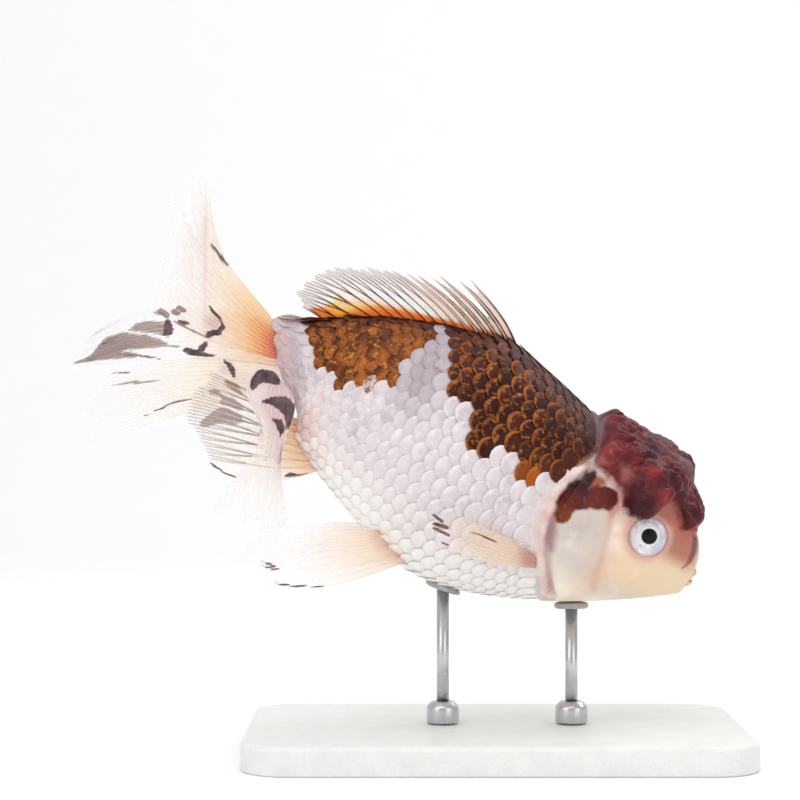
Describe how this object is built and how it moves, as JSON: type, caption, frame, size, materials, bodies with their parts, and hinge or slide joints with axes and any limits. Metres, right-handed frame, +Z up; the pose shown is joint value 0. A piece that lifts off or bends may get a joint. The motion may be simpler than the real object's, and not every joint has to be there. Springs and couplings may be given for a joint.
{
  "type": "oranda fancy goldfish display model",
  "caption": "Life-size still oranda goldfish with a pebbled hood, scaled egg-shaped body and flowing double tail, nose down on a small display stand.",
  "frame": {"origin": "centre of the flat underside of the stand's base", "axes": "+Z up, +X the way the fish faces and the long way of the base, -Y the fish's right side"},
  "size_m": [0.1424, 0.064, 0.1197],
  "materials": {
    "scaled_skin": "wet silvery-white scales with bronze-brown patches",
    "cheek_skin": "smooth wet cream skin",
    "hood_skin": "wet pebbled dark red-brown skin",
    "lip_skin": "wet salmon-brown skin",
    "eye": "clear glossy dome over a silver iris and black pupil",
    "pale_fin": "thin translucent peach membrane with fine rays",
    "dark_fin": "thin clear membrane with dark brown rays",
    "stand_paint": "satin pale grey paint",
    "stand_steel": "satin brushed steel",
    "stand_felt": "pale felt"
  },
  "bodies": {
    "root": {"trunk": "scaled_skin", "tail_stalk": "scaled_skin", "head": "cheek_skin", "gill_cover_right": "cheek_skin", "gill_cover_left": "cheek_skin", "lips": "lip_skin", "hood": "hood_skin", "eye_right": "eye", "eye_left": "eye", "dorsal_fin": "dark_fin", "anal_fin_right": "dark_fin", "anal_fin_left": "dark_fin", "tail_upper_right": "pale_fin", "tail_upper_left": "pale_fin", "tail_lower_right": "pale_fin", "tail_lower_left": "pale_fin", "pelvic_fin_right": "pale_fin", "pelvic_fin_left": "pale_fin", "pectoral_fin_right": "pale_fin", "pectoral_fin_left": "pale_fin", "stand_base": "stand_paint", "stand_rod_rear": "stand_steel", "stand_collar_rear": "stand_steel", "stand_pad_rear": "stand_felt", "stand_rod_front": "stand_steel", "stand_collar_front": "stand_steel", "stand_pad_front": "stand_felt"}
  },
  "joints": []
}
